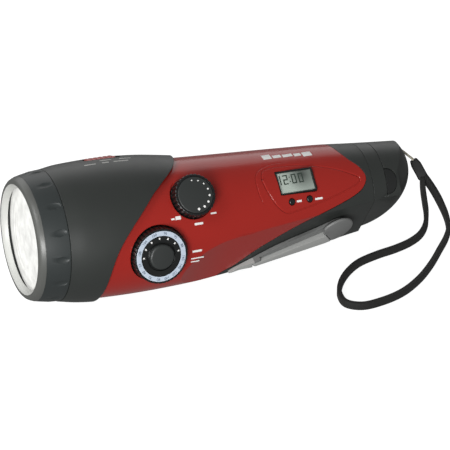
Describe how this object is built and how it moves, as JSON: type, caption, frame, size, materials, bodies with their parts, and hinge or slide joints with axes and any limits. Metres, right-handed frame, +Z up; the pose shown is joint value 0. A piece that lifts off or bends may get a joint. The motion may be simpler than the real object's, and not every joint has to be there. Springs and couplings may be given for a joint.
{
  "type": "emergency radio",
  "caption": "Flashlight-shaped emergency radio with a fold-away charging crank, tuning and volume dials, clock display and a wrist strap.",
  "frame": {"origin": "centre of the radio's footprint on the table", "axes": "+X from the lens to the tail, +Z up, -Y towards the control panel"},
  "size_m": [0.2738, 0.1264, 0.0829],
  "materials": {
    "head_grey": "fine satin moulded plastic",
    "case_grey": "satin moulded plastic",
    "red_panel": "polished red plastic",
    "black_knob": "satin black plastic",
    "switch_red": "satin red plastic",
    "crank_grey": "satin mid-grey plastic",
    "grip_grey": "satin light grey plastic",
    "dial_white": "printed pale ring",
    "clear_lens": "clear window",
    "display": "grey-green display",
    "mirror_cup": "bright reflector",
    "steel": "bright steel",
    "gear_brass": "cut brass",
    "copper_wire": "enamelled copper winding",
    "board_green": "printed circuit board",
    "ferrite": "sintered ferrite",
    "cell_skin": "plain printed cell skin",
    "black_rubber": "soft matte rubber",
    "inner_black": "moulded black plastic",
    "strap_fabric": "woven black webbing",
    "cord_clear": "clear nylon cord"
  },
  "bodies": {
    "case": {"bezel": "head_grey", "lens": "clear_lens", "lens_gasket": "black_rubber", "reflector": "mirror_cup", "led_board": "board_green", "led_1": "clear_lens", "led_2": "clear_lens", "led_3": "clear_lens", "led_4": "clear_lens", "led_5": "clear_lens", "head_shell": "head_grey", "front_shell": "red_panel", "rear_shell": "case_grey", "tail_cap": "case_grey", "jack_socket": "inner_black", "case_screw_1": "steel", "case_screw_2": "steel", "case_screw_3": "steel", "volume_pot": "steel", "tuning_capacitor": "inner_black", "lamp_switch_body": "inner_black", "clock_frame": "black_knob", "clock_pane": "display", "clock_module": "board_green", "main_board": "board_green", "speaker": "inner_black", "ferrite_rod": "ferrite", "antenna_coil": "copper_wire", "cell_1": "cell_skin", "cell_2": "cell_skin", "cell_3": "cell_skin", "battery_holder": "inner_black", "contact_front": "steel", "contact_rear": "steel", "dynamo_case": "steel", "strap_cord": "cord_clear", "strap_sleeve": "strap_fabric", "strap_webbing": "strap_fabric"},
    "volume_control": {"volume_knob": "black_knob"},
    "tuning_control": {"tuning_knob": "black_knob", "tuning_scale": "dial_white"},
    "set_key": {"set_button": "black_knob"},
    "mode_key": {"mode_button": "black_knob"},
    "lamp_slider": {"lamp_switch_knob": "switch_red"},
    "crank": {"crank_shaft": "steel", "crank_arm": "crank_grey", "crank_screw": "steel", "grip_pin": "steel", "drive_gear": "gear_brass"},
    "grip": {"crank_grip": "grip_grey"},
    "rotor": {"dynamo_rotor": "steel"},
    "door": {"battery_door": "case_grey"},
    "jack_flap": {"jack_cover": "black_rubber"}
  },
  "joints": [
    {"name": "volume_turn", "type": "hinge", "parent": "case", "child": "volume_control", "pos_m": [-0.02709, -0.02325, 0.06572], "axis": [-0.0448, 0.766, -0.6412], "range_deg": [0, 280]},
    {"name": "tuning_turn", "type": "hinge", "parent": "case", "child": "tuning_control", "pos_m": [-0.05402, -0.03486, 0.0404], "axis": [-0.0157, 0.9744, -0.2244], "range_deg": [-150, 150]},
    {"name": "set_press", "type": "slide", "parent": "case", "child": "set_key", "axis": [-0.0316, 0.8918, -0.4513], "range_m": [0, 0.0008], "stiffness_N_per_m": 400},
    {"name": "mode_press", "type": "slide", "parent": "case", "child": "mode_key", "axis": [-0.0316, 0.8918, -0.4513], "range_m": [0, 0.0008], "stiffness_N_per_m": 400},
    {"name": "lamp_slide", "type": "slide", "parent": "case", "child": "lamp_slider", "axis": [0.9976, 0, -0.0698], "range_m": [-0.0025, 0.0025]},
    {"name": "crank_spin", "type": "hinge", "parent": "case", "child": "crank", "pos_m": [0.0656, -0.01884, 0.02222], "axis": [0.0814, -0.8772, -0.4732], "continuous": true},
    {"name": "grip_fold", "type": "hinge", "parent": "crank", "child": "grip", "pos_m": [0.01425, -0.01905, 0.00892], "axis": [0.2184, 0.479, -0.8502], "range_deg": [0, 90]},
    {"name": "rotor_spin", "type": "hinge", "parent": "case", "child": "rotor", "pos_m": [0.04768, -0.0118, 0.02723], "axis": [0.0814, -0.8772, -0.4732], "continuous": true},
    {"name": "door_open", "type": "hinge", "parent": "case", "child": "door", "pos_m": [0.02522, 0.03688, 0.03247], "axis": [0.9966, -0.077, -0.0287], "range_deg": [0, 100]},
    {"name": "jack_flap_open", "type": "hinge", "parent": "case", "child": "jack_flap", "pos_m": [0.10063, -0.01838, 0.04362], "axis": [-0.0585, -0.5446, -0.8366], "range_deg": [0, 90]}
  ],
  "couplings": [
    {"joint": "rotor_spin", "follows": "crank_spin", "ratio": -2.1667}
  ]
}
